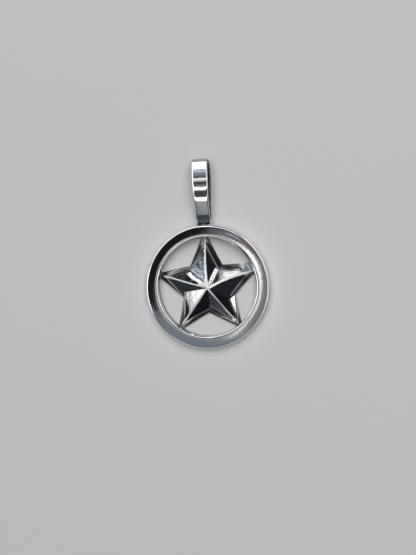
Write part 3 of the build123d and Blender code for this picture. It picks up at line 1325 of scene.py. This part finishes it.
@dataclass(frozen=True)
class FacetCard:
    """A soft card that stands where the star's facets mirror it to the camera."""

    name: str
    facets: tuple[tuple[str, Side], ...]  # with two, it stands where the edge between them mirrors it
    width: float  # angular width in degrees, sideways
    height: float  # angular height in degrees, away from the zenith
    radiance: float
    tint: Colour = WHITE
    sideways: float = 0.0  # degrees by which it is moved round the zenith
    away: float = 0.0  # degrees by which it is moved away from the zenith

    def light(self, star: Star, towards: Array) -> SoftLight:
        """Works out where the card stands.

        Args:
            star: The star that mirrors it.
            towards: Direction from the pendant to the camera, in the pendant's frame.

        Returns:
            The light that the card is.
        """
        normal = np.sum([star.facet_normal(arm, side) for arm, side in self.facets], axis=0)
        normal /= np.linalg.norm(normal)
        out = 2.0 * float(towards @ normal) * normal - towards
        azimuth = math.degrees(math.atan2(out[1], out[0])) + self.sideways
        off_zenith = math.degrees(math.acos(out[2])) + self.away
        return SoftLight(self.name, azimuth, off_zenith, self.width, self.height, self.radiance,
                         Reach.STAR, self.tint)


# Each SoftLight has its azimuth, its angle off the zenith, its angular width and height and its
# radiance, and each card_over and strip_light the part of the sky that it fills and its radiance.
# These stand round the table, where the outer walls and roundings mirror them. The last is the floor's.
BASE_LIGHTS = (
    SoftLight("left_box", 184.0, 62.0, 32.0, 26.0, 0.9, Reach.BAND),
    SoftLight("top_box", 85.0, 47.0, 33.0, 24.0, 0.95, Reach.BAND),
    SoftLight("right_horizon", 20.0, 77.0, 70.0, 12.0, 1.0, Reach.BAND),
    SoftLight("top_left_horizon", 133.0, 79.0, 55.0, 10.0, 1.0, Reach.BAND),
    SoftLight("floor_wash", 75.0, 20.0, 50.0, 50.0, 2.4, Reach.FLOOR, distance=1.2),
)
# What the hoop's face and the lug's front mirror, from straight above outwards.
HOOP_LIGHTS = (
    card_over("hoop_core", (-0.2, -0.03), (-0.075, -0.015), 0.8),
    card_over("hoop_core_bright", (-0.085, -0.02), (-0.045, -0.015), 0.6),
    card_over("hoop_core_high", (-0.085, -0.02), (-0.015, 0.02), 1.2, WARM),
    card_over("hoop_core_side", (-0.02, 0.04), (-0.04, 0.05), 0.36),
    card_over("hoop_core_left", (-0.125, -0.085), (-0.015, 0.015), 0.35),
    card_over("hoop_below_core", (-0.125, -0.085), (-0.16, -0.075), 0.7, WARM),
    card_over("hoop_low_spot", (-0.11, -0.065), (-0.24, -0.16), 0.6, WARM),
    card_over("hoop_right_low", (-0.09, 0.18), (-0.3, -0.075), 0.13, WARM),
    card_over("hoop_right", (-0.02, 0.18), (-0.075, -0.04), 0.11, WARM),
    card_over("hoop_right_high", (0.04, 0.18), (-0.04, 0.05), 0.13),
    card_over("hoop_high", (-0.14, 0.12), (0.02, 0.3), 0.085, PURPLE),
    card_over("hoop_high_streak", (-0.06, 0.0), (0.13, 0.19), 0.3),
    card_over("hoop_low", (-0.36, -0.12), (-0.45, -0.145), 0.14, COOL),
    card_over("hoop_low_far", (-0.5, -0.36), (-0.45, -0.19), 0.14, COOL),
    card_over("hoop_low_middle", (-0.12, 0.0), (-0.45, -0.24), 0.14, COOL),
    card_over("hoop_low_right", (0.0, 0.32), (-0.46, -0.3), 0.18, WARM),
    card_over("hoop_left", (-0.25, -0.2), (-0.135, -0.03), 0.12),
    card_over("hoop_left_spot", (-0.29, -0.22), (-0.15, -0.1), 0.2, WARM),
    card_over("hoop_left_low", (-0.2, -0.13), (-0.135, -0.075), 0.16),
    card_over("lug_front", (-0.23, -0.09), (-0.13, -0.01), 0.08, COOL, Reach.LUG),
    SoftLight("hoop_south_high", 285.0, 44.0, 110.0, 20.0, 0.42, Reach.HOOP),
    SoftLight("hoop_south_low", 285.0, 67.0, 110.0, 26.0, 0.78, Reach.HOOP),
    SoftLight("hoop_east_high", 15.0, 43.0, 80.0, 22.0, 0.42, Reach.HOOP),
    SoftLight("hoop_east_low", 15.0, 65.0, 80.0, 22.0, 0.75, Reach.HOOP),
    SoftLight("hoop_north_west_high", 150.0, 44.0, 95.0, 18.0, 0.45, Reach.HOOP),
    SoftLight("hoop_north_west_low", 150.0, 64.0, 95.0, 22.0, 0.8, Reach.HOOP),
)
# What the star's crests, facets, filled valleys and outer slopes mirror.
STAR_LIGHTS = (
    SoftLight("crest_card", 191.0, 6.0, 52.0, 52.0, 1.3, Reach.STAR, round=True),
    FacetCard("top_left_facet", (("top", Side.LEFT),), 13.0, 16.0, 0.13, COOL, 5.0, 2.0),
    FacetCard("top_left_low", (("top", Side.LEFT),), 9.0, 12.0, 0.3, COOL, 8.0, 2.0),
    FacetCard("left_lower_facet", (("left", Side.LEFT),), 16.0, 12.0, 0.02, COOL),
    FacetCard("left_upper_facet", (("left", Side.RIGHT),), 11.0, 9.0, 0.12, WHITE, 7.0, 7.0),
    FacetCard("lower_left_facet", (("lower_left", Side.RIGHT),), 18.0, 16.0, 0.34, WHITE, 0.0, -2.0),
    FacetCard("lower_left_core", (("lower_left", Side.RIGHT),), 6.0, 9.0, 0.6, WHITE, 0.0, -4.0),
    FacetCard("lower_right_facet", (("lower_right", Side.RIGHT),), 14.0, 14.0, 0.025, WHITE, 8.0),
    card_over("right_facet", (-0.12, 0.14), (0.48, 0.76), 0.3, WHITE, Reach.STAR),
    card_over("right_core", (-0.07, 0.12), (0.5, 0.66), 0.55, WHITE, Reach.STAR),
    card_over("right_tip", (0.14, 0.42), (0.38, 0.76), 0.14, COOL, Reach.STAR),
    FacetCard("right_lower_facet", (("right", Side.RIGHT),), 16.0, 16.0, 0.006, COOL),
    FacetCard("top_left_valley", (("top", Side.LEFT), ("left", Side.RIGHT)), 18.0, 18.0, 0.8),
    FacetCard("top_right_valley", (("right", Side.LEFT), ("top", Side.RIGHT)), 11.0, 10.0, 0.9),
    SoftLight("lower_right_wall", 12.0, 33.0, 8.0, 7.0, 1.0, Reach.STAR),
    SoftLight("right_wall", 84.0, 80.0, 30.0, 16.0, 0.06, Reach.STAR, COOL),
)
# What the bail mirrors: strips that its curved front shows as bright and dark bands, and its sides.
BAIL_LIGHTS = (
    strip_light("leg_low", -0.97, -0.57, 0.038, COOL),
    strip_light("leg_high", -0.57, -0.5, 0.1, COOL),
    strip_light("leg_edge", -0.5, -0.46, 0.25),
    strip_light("band_1", -0.46, -0.375, 1.25),
    strip_light("band_2", -0.35, -0.2, 0.03),
    strip_light("band_3", -0.185, -0.11, 1.4),
    strip_light("band_4", -0.1, -0.04, 0.13),
    strip_light("band_5", -0.04, 0.035, 0.033),
    strip_light("band_6", 0.05, 0.11, 0.5, (1.0, 0.96, 0.9)),
    strip_light("band_7", 0.11, 0.13, 1.0),
    strip_light("band_8", 0.155, 0.2, 0.06, COOL),
    strip_light("band_9", 0.2, 0.285, 0.17, COOL),
    strip_light("band_10", 0.285, 0.345, 0.4, COOL),
    strip_light("band_11", 0.36, 0.9, 1.1),
    strip_light("band_12", 0.93, 0.999, 1.1),
    SoftLight("bail_left", 166.0, 58.0, 50.0, 54.0, 1.0, Reach.BAIL),
    SoftLight("bail_right", 22.0, 50.0, 50.0, 30.0, 0.8, Reach.BAIL),
)


@dataclass
class Studio:
    """Pale floor, soft lights and dim walls."""

    floor_half: float = 3.0  # in metres
    floor_colour: Colour = (0.80, 0.80, 0.81)
    floor_roughness: float = 0.9
    floor_specular: float = 0.1
    wall_colour: Colour = (0.006, 0.007, 0.009)
    horizon_colour: Colour = (0.62, 0.63, 0.65)

    def build(self, pose: RestPose, star: Star, towards: Array) -> None:
        """Makes the floor, the walls and the lights.

        Args:
            pose: How the pendant lies.
            star: The star, whose facets some lights are placed for.
            towards: Direction from the pendant to the camera, in the pendant's frame.
        """
        self.build_floor()
        self.build_walls()
        bail_middle = np.mean([tuple(corner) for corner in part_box("bail")], axis=0)
        for light in BASE_LIGHTS + HOOP_LIGHTS + STAR_LIGHTS + BAIL_LIGHTS:
            placed = light.light(star, towards) if isinstance(light, FacetCard) else light
            placed.build(pose, bail_middle if placed.reach is Reach.BAIL else np.zeros(3))

    def build_floor(self) -> None:
        """Makes the plain pale floor."""
        half = self.floor_half
        mesh = bpy.data.meshes.new("floor")
        corners = [(-half, -half, 0.0), (half, -half, 0.0), (half, half, 0.0), (-half, half, 0.0)]
        mesh.from_pydata(corners, [], [(0, 1, 2, 3)])
        floor = add_object("floor", mesh)
        made = bpy.data.materials.new("pale_floor")
        made.use_nodes = True
        sheet = NodeSheet(made.node_tree)
        shader = sheet.add("BsdfPrincipled", {
            "Base Color": (*self.floor_colour, 1.0),
            "Roughness": self.floor_roughness,
            "Specular IOR Level": self.floor_specular,
        })
        sheet.add("OutputMaterial", {"Surface": shader.outputs["BSDF"]})
        mesh.materials.append(made)

    def build_walls(self) -> None:
        """Makes the dim walls, and the pale horizon that the camera sees behind the floor."""
        world = bpy.data.worlds.new("studio_walls")
        world.use_nodes = True
        bpy.context.scene.world = world
        sheet = NodeSheet(world.node_tree)
        seen = sheet.add("LightPath").outputs["Is Camera Ray"]
        colour = sheet.mix_colour(seen, (*self.wall_colour, 1.0), (*self.horizon_colour, 1.0))
        background = sheet.add("Background", {"Color": colour})
        sheet.add("OutputWorld", {"Surface": background.outputs["Background"]})


@dataclass(frozen=True)
class PhotoCamera:
    """The camera at the photo's angle to the pendant."""

    towards: Place = (0.163, 0.06, 0.985)  # from the pendant to the camera, in the pendant's frame
    roll: float = 3.5  # how far the pendant is turned counter-clockwise in the picture, in degrees
    scale: float = 6.215  # pixels of the photo to a millimetre
    hoop_place: Range = (206.8, 286.75)  # pixel in the photo at the middle of the hoop's front
    distance: float = 0.4  # from the camera to the pendant, in metres
    sensor: float = 36.0  # width of the film, in millimetres
    clip: Range = (0.01, 20.0)  # nearest and furthest that it sees, in metres

    @property
    def direction(self) -> Array:
        """Unit direction from the pendant to the camera."""
        return np.array(self.towards) / np.linalg.norm(self.towards)

    def build(self, pose: RestPose, hoop: Hoop) -> None:
        """Makes the scene's camera.

        Args:
            pose: How the pendant lies.
            hoop: The ring, whose front's middle has a known place in the photo.
        """
        out = self.direction
        level = np.cross([0.0, 1.0, 0.0], out)
        level /= np.linalg.norm(level)
        upright = np.cross(out, level)
        roll = math.radians(self.roll)
        right = level * math.cos(roll) - upright * math.sin(roll)
        up = upright * math.cos(roll) + level * math.sin(roll)
        wide, high = PHOTO_SIZE
        aim = np.array([0.0, 0.0, hoop.thick])
        aim = aim + right * (wide / 2 - self.hoop_place[0]) / self.scale
        aim = aim + up * (self.hoop_place[1] - high / 2) / self.scale
        axes = pose.turn(np.array([right, up, out]))
        data = bpy.data.cameras.new("photo_camera")
        data.sensor_fit = "AUTO"
        data.sensor_width = self.sensor
        data.lens = self.sensor * self.distance / (high / self.scale * MM)
        data.clip_start, data.clip_end = self.clip
        made = add_object("photo_camera", data)
        stand(made, axes, pose.place(aim) + self.distance * axes[2])
        bpy.context.scene.camera = made


def dress_root(piece: Object) -> None:
    """Lets a piece ride on the pendant's one body."""
    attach(piece, BODY)


def main() -> None:
    """Builds the pendant and its studio, piece by piece."""
    logging.basicConfig(level=logging.INFO, format="%(name)s: %(message)s")
    bpy.context.scene.view_settings.view_transform = "Standard"
    groups = {group.name: group for group in (hand_polish_group(), crevice_group(), edge_wear_group())}
    hoop_finish = SilverFinish("hoop_polished_silver", roughness=0.1, scratch=1.1, ripple=5.0)
    star_finish = SilverFinish("star_polished_silver", roughness=0.1, ripple=1.0)
    bail_finish = SilverFinish("bail_polished_silver")
    solder_finish = SilverFinish("solder_dull_silver", silver=(0.42, 0.43, 0.45), roughness=0.3,
                                 scratch=0.1, ripple=6.0, shade_amount=1.0)
    hoop_silver, star_silver, bail_silver, solder_silver = (
        finish.material(groups) for finish in (hoop_finish, star_finish, bail_finish, solder_finish)
    )

    hoop = Hoop()
    star = Star(hoop)
    lug = Lug(hoop)
    bail = Bail(lug)
    pose = rest_pose(hoop, bail)
    log.info("rest tilt %.3f degrees, shift %s mm", math.degrees(pose.tilt), pose.shift)

    hoop_piece = hoop.build(pose, hoop_silver)
    star_piece = star.build(pose, star_silver)
    lug_piece = lug.build(pose, hoop_silver)
    solder_piece = Solder(star, lug).build(pose, solder_silver)
    for piece in (hoop_piece, star_piece, lug_piece, solder_piece):
        dress_root(piece)
    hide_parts("star_hoop")
    bail_piece = bail.build(pose, bail_silver)
    for piece in (hoop_piece, star_piece, lug_piece, solder_piece, bail_piece):
        log.info("piece %s: %d faces", piece.name, len(piece.data.polygons))

    camera = PhotoCamera()
    Studio().build(pose, star, camera.direction)
    camera.build(pose, hoop)


if __name__ == "__main__":
    main()
